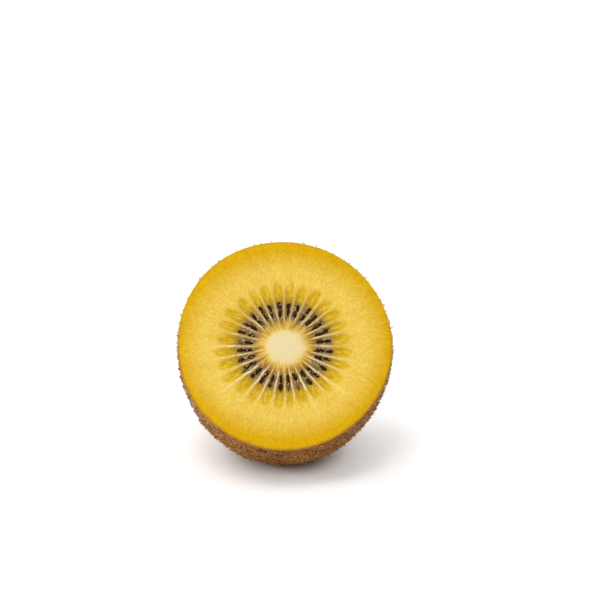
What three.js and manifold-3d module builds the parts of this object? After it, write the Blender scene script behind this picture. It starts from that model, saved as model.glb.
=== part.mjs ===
// Half of a golden kiwi fruit, cut across the middle, standing on a small flat spot of its skin
// with the cut face leaning back. Millimetres, +Z up, the cut face towards -Y.
// The fruit is one grown piece, so it is one solid: the round skin, the cut face with its seed
// chambers, the seeds standing proud of it, and the dried stem end at the far pole.
import * as THREE from "three";
import { mergeVertices } from "three/addons/utils/BufferGeometryUtils.js";
import Module from "manifold-3d";

// Size and shape of the half fruit
const HALF_WIDTH = 25.5; // across the cut face, side to side
const HALF_HEIGHT = 26.6; // across the cut face, bottom to top
const HALF_LENGTH = 33; // from the cut face to the stem end's pole
const BARREL_POWER = 2.4; // 2 is an ellipsoid, more has fuller sides
const FACE_LEAN = THREE.MathUtils.degToRad(45); // the cut face's normal above the horizon
const FLAT_DEPTH = 0.8; // how much of the round skin the flat spot takes
const FLAT_SLAB = 80; // edge of the block that cuts the flat spot

// The skin's gentle unevenness, as shares of its radius, each a wave round the fruit
const UNEVEN = [
  { waves: 3, share: 0.006, turn: -0.42, alongTurn: 0 },
  { waves: 2, share: 0.006, turn: 1.9, alongTurn: 2.2 },
  { waves: 5, share: 0.0025, turn: 0.7, alongTurn: -3.1 },
];

// The cut face
const CHAMBERS = 28; // seed chambers round the core
const CHAMBER_JITTER = 0.3; // how unevenly the walls between them are spaced
const PATTERN_SQUEEZE = 1.03; // the pattern is a little wider than it is tall
const CORE_EDGE = 5.1;
const CORE_RISE = 0.25;
const CHAMBER_INNER = 6.4;
const CHAMBER_TIP = 16.6;
const CHAMBER_TIP_SPREAD = 1.2;
const CHAMBER_DEPTH = 0.4;
const CROWN_RISE = 0.3; // the flesh swells this far above the skin's cut edge
const CROWN_POWER = 14; // how close to the edge it swells

// Seeds, lying along the chambers in an outer and an inner row
const SEED_LENGTH = 2.0;
const SEED_WIDTH = 1.05;
const SEED_THICKNESS = 1.05;
const SEED_ROWS = [
  { radius: 10.5, spread: 0.8, missing: 0.04 },
  { radius: 8.45, spread: 0.6, missing: 0.12 },
];
const SEED_SINK = 0.08; // a seed's middle lies this far below the pulp's surface
const SEED_TURN = 0.4; // radians either way
const SEED_SIDES = 8;
const SEED_STACKS = 5;

// The stem end: a woody button in a shallow dimple, with a crown of dried sepals
const DIMPLE_DEPTH = 1.5;
const DIMPLE_RADIUS = 5.2;
const BUTTON_SIDES = 18;
const BUTTON_ROOT = -2; // sunk this far into the fruit
const BUTTON_PROFILE = [
  [3.0, 0.1],
  [2.7, 0.55],
  [2.25, 0.3],
  [1.85, 1.05],
  [1.5, 1.2],
  [1.15, 0.75],
  [0.7, 0.95],
]; // radius and height above the dimple's floor
const BUTTON_MIDDLE = 0.7;
const SEPALS = 16;
const SEPAL_ROOT = 2.2; // distance of a sepal's foot from the axis
const SEPAL_LENGTH = 2.3;
const SEPAL_LENGTH_SPREAD = 0.9;
const SEPAL_WIDTH = 1.3;
const SEPAL_THICKNESS = 0.9;
const SEPAL_LIFT = 0.5; // radians above the skin
const SEPAL_LIFT_SPREAD = 0.4;
const SEPAL_STRAY = 0.35; // how unevenly they are spaced
const SEPAL_SIDES = 5;

// Fineness of the grids
const STEPS_PER_CHAMBER = 4;
const SKIN_EVERY = 2; // the skin has one column for this many steps of the face
const FACE_RINGS = [
  0.12, 0.185, 0.24, 0.3, 0.365, 0.43, 0.5, 0.57, 0.625, 0.68, 0.82, 0.93, 0.975, 1,
];
const SKIN_ROWS = [
  6, 12, 18, 24, 30, 36, 42, 48, 54, 60, 65, 70, 74, 77.5, 80.5, 83.5, 86.5,
]; // degrees from the cut to the pole

// Colours
const FLESH = new THREE.Color(0xe6b832);
const CORE = new THREE.Color(0xf0dca4);
const PULP = new THREE.Color(0x9c8148); // between the seeds
const SKIN = new THREE.Color(0x8a5f2e);
const SEED = new THREE.Color(0x2a1510);
const WOOD = new THREE.Color(0x6b4022);

const wasm = await Module();
wasm.setup();

// A repeatable draw from 0 to 1 for item i and purpose k.
function draw(i, k) {
  const x = Math.sin(i * 12.9898 + k * 78.233) * 43758.5453;
  return x - Math.floor(x);
}

const smooth = THREE.MathUtils.smoothstep;

// The angle of the wall before chamber i.
function wallAngle(i) {
  const turn = Math.floor(i / CHAMBERS);
  const wall = i - turn * CHAMBERS;
  const jitter = CHAMBER_JITTER * (draw(wall, 1) - 0.5);
  return (2 * Math.PI * (wall + jitter)) / CHAMBERS + turn * 2 * Math.PI;
}

// The angle at a share, from 0 to 1, of the way across chamber i.
function chamberAngle(i, share) {
  return THREE.MathUtils.lerp(wallAngle(i), wallAngle(i + 1), share);
}

// The radius factor at an angle round the fruit and a share of the way to the pole.
function unevenness(angle, along) {
  let factor = 1;
  for (const { waves, share, turn, alongTurn } of UNEVEN)
    factor += share * Math.cos(waves * angle + turn + alongTurn * along);
  return factor;
}

// A point of the skin. The meridian is a superellipse: radius is the cosine of the slant and the
// depth is its sine to the power 2 / BARREL_POWER. The pole is pressed in by the stem end's dimple.
function skinPoint(angle, slant) {
  const along = Math.sin(slant) ** (2 / BARREL_POWER);
  const radius = Math.cos(slant) * unevenness(angle, along);
  const x = HALF_WIDTH * radius * Math.cos(angle);
  const y = HALF_HEIGHT * radius * Math.sin(angle);
  const pressed = DIMPLE_DEPTH * Math.exp(-(x * x + y * y) / DIMPLE_RADIUS ** 2);
  return new THREE.Vector3(x, y, -HALF_LENGTH * along + pressed * along);
}

// A point's distance from the axis as the pattern of the cut face is laid out.
function patternRadius(x, y) {
  return Math.hypot(x, y * PATTERN_SQUEEZE);
}

// The height of the cut face at a point of it, for chamber i and the share of the way across it.
// The core stands up, the chambers dip between their walls, and the flesh swells inside the edge.
function faceHeight(x, y, i, share, ring) {
  const radius = patternRadius(x, y);
  const across = 1 - Math.abs(2 * share - 1);
  const tip = CHAMBER_TIP + CHAMBER_TIP_SPREAD * (draw(i, 2) - 0.5);
  const along =
    smooth(radius, CORE_EDGE, CHAMBER_INNER + 1.4) * (1 - smooth(radius, tip - 3, tip));
  const dip = CHAMBER_DEPTH * along * smooth(across, 0.05, 0.75);
  const core = CORE_RISE * (1 - smooth(radius, CORE_EDGE - 2, CORE_EDGE + 1.2));
  return CROWN_RISE * (1 - ring ** CROWN_POWER) + core - dip;
}

// The colour of the fruit at a point of its surface, with the cut face at z = 0.
function fruitColour({ x, y, z }) {
  const radius = patternRadius(x, y);
  if (z < -CHAMBER_DEPTH || Math.hypot(x / HALF_WIDTH, y / HALF_HEIGHT) > 0.985) return SKIN;
  if (radius < CORE_EDGE) return CORE;
  if (radius > CHAMBER_INNER && radius < SEED_ROWS[0].radius + SEED_LENGTH / 2 && z < 0) return PULP;
  return FLESH;
}

// The closed surface of the fruit with no seeds or stem end, as rings of points from the middle of
// the face to its edge, then rows of skin to the pole.
function fruitGeometry() {
  const columns = CHAMBERS * STEPS_PER_CHAMBER;
  const points = [];
  const faces = [];
  const add = (p) => points.push(p) - 1;
  const angles = [];
  for (let c = 0; c < columns; c++)
    angles.push(
      chamberAngle(Math.floor(c / STEPS_PER_CHAMBER), (c % STEPS_PER_CHAMBER) / STEPS_PER_CHAMBER),
    );

  const middle = add(new THREE.Vector3(0, 0, CROWN_RISE + CORE_RISE));
  const rings = FACE_RINGS.map((ring) =>
    angles.map((angle, c) => {
      const rim = skinPoint(angle, 0);
      const x = rim.x * ring;
      const y = rim.y * ring;
      const share = (c % STEPS_PER_CHAMBER) / STEPS_PER_CHAMBER;
      const i = Math.floor(c / STEPS_PER_CHAMBER);
      return add(new THREE.Vector3(x, y, faceHeight(x, y, i, share, ring)));
    }),
  );
  for (let c = 0; c < columns; c++) faces.push([middle, rings[0][c], rings[0][(c + 1) % columns]]);
  for (let r = 1; r < rings.length; r++)
    for (let c = 0; c < columns; c++) {
      const d = (c + 1) % columns;
      faces.push([rings[r - 1][c], rings[r][c], rings[r][d]]);
      faces.push([rings[r - 1][c], rings[r][d], rings[r - 1][d]]);
    }

  const rim = rings.at(-1);
  const skinAngles = angles.filter((angle, c) => c % SKIN_EVERY === 0);
  const rows = SKIN_ROWS.map((degrees) =>
    skinAngles.map((angle) => add(skinPoint(angle, THREE.MathUtils.degToRad(degrees)))),
  );
  const skinColumns = skinAngles.length;
  for (let c = 0; c < skinColumns; c++) {
    const d = (c + 1) % skinColumns;
    const from = rim[c * SKIN_EVERY];
    const half = rim[c * SKIN_EVERY + 1];
    const to = rim[d * SKIN_EVERY];
    faces.push([from, rows[0][c], half], [half, rows[0][c], rows[0][d]], [half, rows[0][d], to]);
  }
  for (let r = 1; r < rows.length; r++)
    for (let c = 0; c < skinColumns; c++) {
      const d = (c + 1) % skinColumns;
      faces.push([rows[r - 1][c], rows[r][c], rows[r][d]]);
      faces.push([rows[r - 1][c], rows[r][d], rows[r - 1][d]]);
    }
  const pole = add(skinPoint(0, Math.PI / 2));
  for (let c = 0; c < skinColumns; c++)
    faces.push([rows.at(-1)[c], pole, rows.at(-1)[(c + 1) % skinColumns]]);

  const geometry = new THREE.BufferGeometry().setFromPoints(points);
  geometry.setIndex(faces.flat());
  return geometry;
}

// One seed: a small oval lying along its chamber, half sunk in the pulp.
function seedGeometry(i, row, k) {
  const share = 0.5 + 0.16 * (draw(i, 10 + k) - 0.5);
  const angle = chamberAngle(i, share);
  const radius = row.radius + row.spread * (draw(i, 20 + k) - 0.5);
  const x = radius * Math.cos(angle);
  const y = (radius * Math.sin(angle)) / PATTERN_SQUEEZE;
  const base = faceHeight(x, y, i, 0.5, radius / HALF_WIDTH);
  const size = 0.92 + 0.16 * draw(i, 30 + k);
  const turn = angle + SEED_TURN * (draw(i, 40 + k) - 0.5);
  return new THREE.SphereGeometry(0.5, SEED_SIDES, SEED_STACKS)
    .rotateZ(Math.PI / 2)
    .scale(SEED_LENGTH * size, SEED_WIDTH * size, SEED_THICKNESS)
    .rotateZ(turn)
    .translate(x, y, base - SEED_SINK);
}

function seedGeometries() {
  const seeds = [];
  for (let i = 0; i < CHAMBERS; i++)
    SEED_ROWS.forEach((row, k) => {
      if (draw(i, 50 + k) >= row.missing) seeds.push(seedGeometry(i, row, k));
    });
  return seeds;
}

// The woody button with its rings, turned about the fruit's axis and facing out of the pole.
function buttonGeometry(floor) {
  const profile = [
    [0, BUTTON_ROOT],
    [BUTTON_PROFILE[0][0], BUTTON_ROOT],
    ...BUTTON_PROFILE,
    [0, BUTTON_MIDDLE],
  ].map(([radius, height]) => new THREE.Vector2(radius, height));
  return new THREE.LatheGeometry(profile, BUTTON_SIDES)
    .rotateX(-Math.PI / 2)
    .translate(0, 0, floor);
}

// The dried sepals: flat points that stand out round the button and lift off the skin.
function sepalGeometries(floor) {
  return Array.from({ length: SEPALS }, (_, i) => {
    const length = SEPAL_LENGTH + SEPAL_LENGTH_SPREAD * (draw(i, 60) - 0.5);
    const lift = SEPAL_LIFT + SEPAL_LIFT_SPREAD * (draw(i, 61) - 0.5);
    const angle = (2 * Math.PI * (i + SEPAL_STRAY * (draw(i, 62) - 0.5))) / SEPALS;
    return new THREE.ConeGeometry(0.5, length, SEPAL_SIDES)
      .scale(SEPAL_WIDTH, 1, SEPAL_THICKNESS)
      .translate(0, length / 2, 0)
      .rotateX(-lift)
      .translate(0, SEPAL_ROOT, 0)
      .rotateZ(angle)
      .translate(0, 0, floor);
  });
}

// A closed three.js geometry as a solid that can be joined and cut. Each point carries its colour,
// which is read where the point is, and is then moved to where the fruit stands.
function solidOf(geometry, colourAt, placing) {
  const bare = geometry.clone();
  bare.deleteAttribute("normal");
  bare.deleteAttribute("uv");
  const merged = mergeVertices(bare, 1e-4);
  const position = merged.attributes.position;
  const vertProperties = new Float32Array(position.count * 6);
  const point = new THREE.Vector3();
  for (let v = 0; v < position.count; v++) {
    point.fromBufferAttribute(position, v);
    const colour = colourAt(point);
    point.applyMatrix4(placing);
    vertProperties.set([point.x, point.y, point.z, colour.r, colour.g, colour.b], v * 6);
  }
  const triVerts = new Uint32Array(merged.index.array);
  return new wasm.Manifold(new wasm.Mesh({ numProp: 6, vertProperties, triVerts }));
}

// A solid back as a three.js geometry with a colour at each point.
function geometryOf(solid) {
  const { numProp, vertProperties, triVerts } = solid.getMesh();
  const points = [];
  const colours = [];
  for (let v = 0; v < vertProperties.length; v += numProp) {
    points.push(...vertProperties.subarray(v, v + 3));
    colours.push(...vertProperties.subarray(v + 3, v + 6));
  }
  const geometry = new THREE.BufferGeometry();
  geometry.setAttribute("position", new THREE.Float32BufferAttribute(points, 3));
  geometry.setAttribute("color", new THREE.Float32BufferAttribute(colours, 3));
  geometry.setIndex(new THREE.BufferAttribute(triVerts, 1));
  geometry.computeVertexNormals();
  return geometry;
}

// Turns the fruit from its own axis to the way it stands, and sets its lowest skin on the flat
// spot, whose middle is the origin. The lowest skin is on the meridian under the fruit.
function standing() {
  const lean = new THREE.Matrix4().makeRotationX(Math.PI / 2 - FACE_LEAN);
  const under = (3 * Math.PI) / 2;
  const steps = 2000;
  let lowest = new THREE.Vector3(0, 0, Infinity);
  for (let k = 0; k <= steps; k++) {
    const point = skinPoint(under, (Math.PI / 2) * (k / steps)).applyMatrix4(lean);
    if (point.z < lowest.z) lowest = point;
  }
  const move = new THREE.Matrix4().makeTranslation(0, -lowest.y, -lowest.z - FLAT_DEPTH);
  return move.multiply(lean);
}

function kiwiHalf() {
  const floor = skinPoint(0, Math.PI / 2).z;
  const placing = standing();
  let fruit = solidOf(fruitGeometry(), fruitColour, placing);
  for (const seed of seedGeometries()) fruit = fruit.add(solidOf(seed, () => SEED, placing));
  for (const wood of [buttonGeometry(floor), ...sepalGeometries(floor)])
    fruit = fruit.add(solidOf(wood, () => WOOD, placing));

  const slab = new THREE.BoxGeometry(FLAT_SLAB, FLAT_SLAB, FLAT_SLAB);
  slab.translate(0, 0, -FLAT_SLAB / 2);
  return geometryOf(fruit.subtract(solidOf(slab, () => SKIN, new THREE.Matrix4())));
}

const half = new THREE.Mesh(
  kiwiHalf(),
  new THREE.MeshStandardMaterial({ vertexColors: true, roughness: 0.5, metalness: 0 }),
);
half.name = "golden_kiwi_half";

const part = new THREE.Group();
part.add(half);

export default part;
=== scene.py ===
# Looks of half a golden kiwi fruit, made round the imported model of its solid.
# Every shape is worked out in the fruit's own frame: the cut face lies at z = 0 and looks along +Z,
# and the stem end is at the far pole, down -Z. stood() then leans it back and sets it on the floor.
import math

import bpy
import numpy as np
from mathutils import Matrix, Vector


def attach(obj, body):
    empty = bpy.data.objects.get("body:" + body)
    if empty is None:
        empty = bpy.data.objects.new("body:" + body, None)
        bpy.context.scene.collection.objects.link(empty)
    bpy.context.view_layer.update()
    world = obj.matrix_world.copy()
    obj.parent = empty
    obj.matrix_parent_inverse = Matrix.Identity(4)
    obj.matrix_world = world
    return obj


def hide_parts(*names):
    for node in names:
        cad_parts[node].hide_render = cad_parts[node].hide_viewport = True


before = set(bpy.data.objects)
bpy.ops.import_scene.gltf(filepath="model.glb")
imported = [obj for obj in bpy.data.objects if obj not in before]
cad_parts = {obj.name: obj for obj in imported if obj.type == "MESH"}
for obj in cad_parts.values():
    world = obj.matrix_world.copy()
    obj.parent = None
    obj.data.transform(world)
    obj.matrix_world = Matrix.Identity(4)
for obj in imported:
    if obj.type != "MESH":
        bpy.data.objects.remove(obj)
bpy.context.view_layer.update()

bl_info = {
    "name": "Golden kiwi half",
    "version": (1, 0, 0),
    "blender": (4, 5, 0),
    "location": "View3D > Sidebar > Kiwi half",
    "description": "Flesh, skin, seeds, stem end and fuzz of half a golden kiwi fruit",
    "category": "Add Mesh",
}

MM = 0.001
NODE = "golden_kiwi_half"

# The skin's gentle unevenness: waves round the fruit, share of the radius, turn, turn with depth
UNEVEN = ((3, 0.006, -0.42, 0.0), (2, 0.006, 1.9, 2.2), (5, 0.0025, 0.7, -3.1))

# The cut face, as the solid has it
CHAMBERS = 28
CHAMBER_JITTER = 0.3
PATTERN_SQUEEZE = 1.03
CORE_EDGE = 5.1 * MM
CORE_RISE = 0.25 * MM
CHAMBER_INNER = 6.4 * MM
CHAMBER_TIP = 16.6 * MM
CHAMBER_TIP_SPREAD = 1.2 * MM
CHAMBER_DEPTH = 0.4 * MM
CROWN_RISE = 0.3 * MM
CROWN_POWER = 14

# How far the photograph's pattern sits below the middle, and how much taller it is
PATTERN_DROP = 0.45 * MM
PATTERN_STRETCH = 0.022

# Walls between the chambers: half of one at the seeds, how fast it grows outwards there and past
# the seeds, how much walls differ, and how soft their sides are
WALL_HALF = 0.04 * MM
WALL_GROWTH = 0.02
WALL_OUTER_GROWTH = 0.085
WALL_SPREAD = 0.12 * MM
WALL_LEAST = 0.02 * MM
WALL_SOFT = 0.26 * MM

# Chambers: how ragged and how round their tips are, and the long spots in them, which have a half
# size along and across the chamber, and lie off its middle by a share of its width
TIP_FRAY = 0.2 * MM
TIP_ROUNDING = 1.2 * MM
TIP_ROUNDING_SPREAD = 1.6 * MM
EDGE_STRENGTH = 0.5
SPOT_STRAY = 0.3
GLEAM_HALF_SIZE = (0.9 * MM, 0.3 * MM)
HOLLOWS = (7.8 * MM, 11.8 * MM)
HOLLOW_HALF_SIZE = (0.95 * MM, 0.36 * MM)

# Rays along the walls, and the radius that counts as much as a full turn does in streaky noise
RAY_HALF = 0.1 * MM
RAY_HALF_SPREAD = 0.06 * MM
RAY_WANDER = 0.07 * MM
SPOKE_LENGTH = 60 * MM

# Relief of the cut face beyond the solid's
RAY_RISE = 0.06 * MM
BED_LUMPS = 0.05 * MM
FIBRE_RISE = 0.012 * MM
CUT_WAVE = 0.02 * MM

# Seed rows, as the solid has them: radius, spread, share that is missing
SEED_ROWS = ((10.5 * MM, 0.8 * MM, 0.04), (8.45 * MM, 0.6 * MM, 0.12))
SEED_SINK = 0.08 * MM
SEED_TURN = 0.4
SEED_TAPER = 0.3
SEED_BED = (7.0 * MM, 12.0 * MM)

# The stem end, as the solid has it. The button's radii and heights are in millimetres, with heights
# counted outwards from the floor of the dimple
DIMPLE_DEPTH = 1.5 * MM
DIMPLE_RADIUS = 5.2 * MM
BUTTON_PROFILE = (
    (3.0, 0.1), (2.7, 0.55), (2.25, 0.3), (1.85, 1.05), (1.5, 1.2), (1.15, 0.75), (0.7, 0.95),
)
BUTTON_MIDDLE = 0.7
BUTTON_ROOT = -2.0
SEPALS = 16
SEPAL_ROOT = 2.2 * MM
SEPAL_LENGTH = 2.3 * MM
SEPAL_LENGTH_SPREAD = 0.9 * MM
SEPAL_WIDTH = 1.3 * MM
SEPAL_THICKNESS = 0.9 * MM
SEPAL_LIFT = 0.5
SEPAL_LIFT_SPREAD = 0.4
SEPAL_STRAY = 0.35

# Fineness of the grids
FACE_STEPS = 18  # columns of the face to a chamber
FACE_RINGS = 140
SKIN_COLUMNS = 400
SKIN_ROWS = 190
HIDDEN_ROWS = 14
SEED_GRID = (14, 10)
BUTTON_COLUMNS = 96
BUTTON_STEPS = 64
SEPAL_GRID = (12, 10)
WAVES = 28  # cosines in a ripple

# The skin: height, wavelength and seed of its lumps, the room under it that they need, the lift of
# its cut edge, the width of the line there, and the reach of the painted shade in the recess round the
# stem end
SKIN_LUMPS = ((0.07 * MM, 9 * MM, 21), (0.03 * MM, 2.6 * MM, 22), (0.025 * MM, 1.3 * MM, 23))
SKIN_ROOM = 0.45 * MM
LIP_LIFT = 0.09 * MM
CUT_LINE = 0.16 * MM
SHADED_RECESS_REACH = (2.8 * MM, 6.2 * MM)

# The fuzz. An upright and a flat tuft each have a lean in degrees, room for their roots, and a size
TUFT = 3  # hairs that leave the skin together
ROOTS_DRAWN = 2.4  # for every hair wanted on a side, because some are left out
UPRIGHT_SHARE = 0.26
UPRIGHT_TUFT = (25, 0.3 * MM, 1.22)
FLAT_TUFT = (76, 0.12 * MM, 1.0)
LEAN_SPREAD = 12
TUFT_STRAY = 0.5
HAIR_STRAY = 0.22
HAIR_BEND = 0.45
HAIR_STEPS = ((-0.08, 1.0), (0.5, 0.72))  # place along a hair, and share of its width there
STEM_CLEARANCE = 3.2 * MM
ROOT_CLEARANCE = 0.12 * MM  # how far roots, and then whole hairs, keep off the floor
HAIR_CLEARANCE = 0.02 * MM

# The photograph's frame, in its pixels
PHOTO_WIDTH = 600
FACE_WIDTH_SHOWN = 215.8
FACE_CENTRE_SHOWN = (284.2, 344.3)
SENSOR_WIDTH = 36.0  # mm of film, as Blender counts it

# The light from all round: sine of the height that it comes from, and how bright it is there
SKY_LEVELS = ((0.0, 0.82), (0.06, 0.82), (0.12, 0.5), (0.5, 0.44), (0.8, 0.97))

# The two soft lights, in metres
LIGHT_AIM = (0, 0, 0.02)
KEY_PLACE = (-0.55, -1.35, 3.0)
KEY_SIZE = 1.0
KEY_COLOUR = (1, 0.99, 0.97)
SIDE_PLACE = (-0.9, 0.1, 0.15)
SIDE_SIZE = 0.3
SIDE_COLOUR = (1, 1, 1)

# The floor: where its painted contact shadow ends, and where and how strongly it glows as painted
# light
CONTACT_SHADOW_REACH = (6.5 * MM, 11 * MM)
GLOW_REACH = (10 * MM, 16.5 * MM)
FLOOR_GLOW = 0.2


def srgb(red, green, blue):
    """A colour as a screen names it, 0 to 255, turned to the linear light that shaders take."""
    shares = np.array([red, green, blue]) / 255
    low = shares / 12.92
    high = ((shares + 0.055) / 1.055) ** 2.4
    return tuple(float(value) for value in np.where(shares <= 0.04045, low, high))


def length_property(name, description, default):
    """A length in metres."""
    return bpy.props.FloatProperty(
        name=name, description=description, default=default, subtype="DISTANCE", unit="LENGTH"
    )


def angle_property(name, description, degrees):
    """An angle, kept in radians from a default in degrees."""
    return bpy.props.FloatProperty(
        name=name,
        description=description,
        default=math.radians(degrees),
        subtype="ANGLE",
        unit="ROTATION",
    )


def colour_property(name, description, default):
    """A linear colour with channels from 0 to 1."""
    return bpy.props.FloatVectorProperty(
        name=name, description=description, default=default, subtype="COLOR", min=0, max=1
    )


class KiwiSizes(bpy.types.PropertyGroup):
    """Driving sizes of the half fruit and of its fuzz"""

    half_width: length_property("Half width", "Across the cut face, middle to side", 25.5 * MM)
    half_height: length_property("Half height", "Across the cut face, middle to top", 26.6 * MM)
    half_length: length_property("Length", "From the cut face to the stem end", 33 * MM)
    barrel_power: bpy.props.FloatProperty(
        name="Barrel power", description="2 is an ellipsoid, more has fuller sides", default=2.4
    )
    face_lean: angle_property("Face lean", "How far the cut face looks above the horizon", 45)
    flat_depth: length_property("Flat depth", "Depth of the flat spot in the skin", 0.8 * MM)
    skin_thickness: length_property("Skin thickness", "How thick the cut skin shows", 0.24 * MM)
    seed_length: length_property("Seed length", "Length of a seed", 2.0 * MM)
    seed_width: length_property("Seed width", "Width and thickness of a seed", 0.9 * MM)
    hair_length: length_property("Hair length", "Usual length of a hair of the fuzz", 0.55 * MM)
    hair_width: length_property("Hair width", "Thickness of a hair at its root", 0.14 * MM)
    hairs: bpy.props.IntProperty(
        name="Hairs", description="Hairs on each side of the fruit", default=14000, min=0, max=19000
    )


class KiwiColours(bpy.types.PropertyGroup):
    """Colours of the half fruit"""

    core: colour_property("Core", "Cream middle of the cut face", srgb(225, 209, 160))
    wall: colour_property("Walls", "Walls between the seeds", srgb(195, 163, 98))
    ray: colour_property("Rays", "Thin pale lines along the walls", srgb(240, 226, 194))
    pale: colour_property("Pale flesh", "Flesh outside the chambers", srgb(233, 199, 90))
    golden: colour_property("Golden flesh", "Flesh next to the skin", srgb(217, 171, 8))
    bed: colour_property("Seed bed", "Pulp between the seeds", srgb(142, 114, 66))
    amber: colour_property("Chamber roots", "Inner ends of the chambers", srgb(174, 128, 36))
    olive: colour_property("Past the seeds", "Chambers just past the seeds", srgb(184, 150, 40))
    lobe: colour_property("Chamber tips", "Outer ends of the chambers", srgb(217, 176, 26))
    seed: colour_property("Seed", "Coat of a seed", srgb(46, 22, 2))
    skin_light: colour_property("Skin, light", "Lighter patches of the skin", srgb(186, 130, 62))
    skin_dark: colour_property("Skin, dark", "Darker patches of the skin", srgb(128, 80, 26))
    skin_cut: colour_property("Cut skin", "Edge of the skin at the cut", srgb(240, 214, 128))
    hair: colour_property("Hair", "Hairs of the fuzz", srgb(176, 124, 60))
    wood: colour_property("Stem end", "Dried stem end and sepals", srgb(150, 90, 38))
    floor: colour_property("Floor", "Plain floor under the fruit", srgb(248, 247, 246))


def draw(item, purpose):
    """A repeatable draw from 0 to 1: the part after the point of a large multiple of a sine."""
    value = np.sin(np.asarray(item) * 12.9898 + purpose * 78.233) * 43758.5453
    return value - np.floor(value)


def smooth(value, low, high):
    """A soft step: 0 below low, 1 above high, and a cubic with level ends between them."""
    share = np.clip((value - low) / (high - low), 0, 1)
    return share * share * (3 - 2 * share)


def window(value, rise, fall):
    """A soft step up over the first pair of values, times a soft step down over the second."""
    return smooth(value, *rise) * (1 - smooth(value, *fall))


def ripple(points, length, seed):
    """A smooth random field, mostly between -1 and 1: cosines that run in random directions, with
    wavelengths round the given length, added up and divided by the root of half their number."""
    rng = np.random.default_rng(seed)
    directions = rng.normal(size=(WAVES, 3))
    directions /= np.linalg.norm(directions, axis=1, keepdims=True)
    lengths = length * rng.uniform(0.7, 1.4, WAVES)
    phases = rng.uniform(0, 2 * np.pi, WAVES)
    waves = np.cos(2 * np.pi * (points @ directions.T) / lengths + phases)
    return waves.sum(axis=-1) / math.sqrt(WAVES / 2)


def wall_angle(wall):
    """The angle of the wall before a chamber: even spacing, shifted by that wall's own draw."""
    turn = np.floor(np.asarray(wall) / CHAMBERS)
    inside = wall - turn * CHAMBERS
    jitter = CHAMBER_JITTER * (draw(inside, 1) - 0.5)
    return 2 * np.pi * ((inside + jitter) / CHAMBERS + turn)


def chamber_angle(chamber, share):
    """The angle at a share, from 0 to 1, of the way across a chamber."""
    start = wall_angle(chamber)
    return start + share * (wall_angle(chamber + 1) - start)


def skin_point(sizes, angle, slant):
    """A point of the skin. The meridian is a superellipse: radius is the cosine of the slant, and
    depth is its sine to the power 2 / barrel power. A Gaussian dimple presses the pole in."""
    along = np.sin(slant) ** (2 / sizes.barrel_power)
    uneven = 1 + sum(
        share * np.cos(waves * angle + turn + depth_turn * along)
        for waves, share, turn, depth_turn in UNEVEN
    )
    x = sizes.half_width * np.cos(slant) * uneven * np.cos(angle)
    y = sizes.half_height * np.cos(slant) * uneven * np.sin(angle)
    pressed = DIMPLE_DEPTH * np.exp(-(x * x + y * y) / DIMPLE_RADIUS**2)
    return np.stack([x, y, (pressed - sizes.half_length) * along], axis=-1)


def pattern_radius(x, y):
    """Distance from the axis as the pattern of the cut face is laid out, a little wider than tall."""
    return np.hypot(x, y * PATTERN_SQUEEZE)


def settled_height(y, ring):
    """Where a point at height y of the even pattern lies on the photograph's cut face, which is a
    little lower and taller in the middle and the same at the skin."""
    inner = 1 - ring * ring
    return y * (1 + PATTERN_STRETCH * inner) - PATTERN_DROP * inner


def chamber_tip(chamber):
    """Radius of a chamber's outer end, by its own draw."""
    return CHAMBER_TIP + CHAMBER_TIP_SPREAD * (draw(chamber, 2) - 0.5)


def face_height(x, y, chamber, share, ring):
    """Height of the cut face: a crown that falls off at the edge, plus a low rise on the core, less
    the dip of a chamber, which is deepest half way between its walls."""
    radius = pattern_radius(x, y)
    across = 1 - np.abs(2 * share - 1)
    tip = chamber_tip(chamber)
    along = window(radius, (CORE_EDGE, CHAMBER_INNER + 1.4 * MM), (tip - 3 * MM, tip))
    dip = CHAMBER_DEPTH * along * smooth(across, 0.05, 0.75)
    core = CORE_RISE * (1 - smooth(radius, CORE_EDGE - 2 * MM, CORE_EDGE + 1.2 * MM))
    return CROWN_RISE * (1 - ring**CROWN_POWER) + core - dip


def leaned(sizes, points):
    """Points of the fruit's own frame, turned about X until the face looks up by the lean."""
    sine = math.sin(sizes.face_lean)
    cosine = math.cos(sizes.face_lean)
    x, y, z = np.moveaxis(np.asarray(points, float), -1, 0)
    return np.stack([x, y * sine - z * cosine, y * cosine + z * sine], axis=-1)


def standing_place(sizes):
    """Where the fruit's own origin goes: the lowest skin is on the meridian under the fruit, and
    lies the flat spot's depth below the floor, over the frame's origin."""
    slants = np.linspace(0, np.pi / 2, 2001)
    meridian = leaned(sizes, skin_point(sizes, np.full_like(slants, 1.5 * np.pi), slants))
    lowest = meridian[np.argmin(meridian[:, 2])]
    return np.array([0, -lowest[1], -lowest[2] - sizes.flat_depth])


def stood(sizes, points):
    """Points of the fruit's own frame as it stands on the floor."""
    return leaned(sizes, points) + standing_place(sizes)


def above(height, floor, soft):
    """A height kept at or over a floor: the same above floor + soft, the floor itself below
    floor - soft, and a parabola that joins both smoothly between."""
    over = height - floor
    joined = (over + soft) ** 2 / (4 * soft)
    return floor + np.where(over > soft, over, np.where(over < -soft, 0, joined))


def on_floor(points, floor=0.0, soft=0.12 * MM):
    """Points pressed up to the floor, which makes the flat spot."""
    points = points.copy()
    points[..., 2] = above(points[..., 2], floor, soft)
    return points


def even_slants(sizes, count):
    """Slants that cut a meridian of the skin into equal lengths, from the cut to the pole."""
    slants = np.linspace(0, np.pi / 2, 4000)
    line = skin_point(sizes, np.zeros_like(slants), slants)
    steps = np.linalg.norm(np.diff(line, axis=0), axis=1)
    lengths = np.concatenate([[0], np.cumsum(steps)])
    return np.interp(np.linspace(0, lengths[-1], count), lengths, slants)


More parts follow.
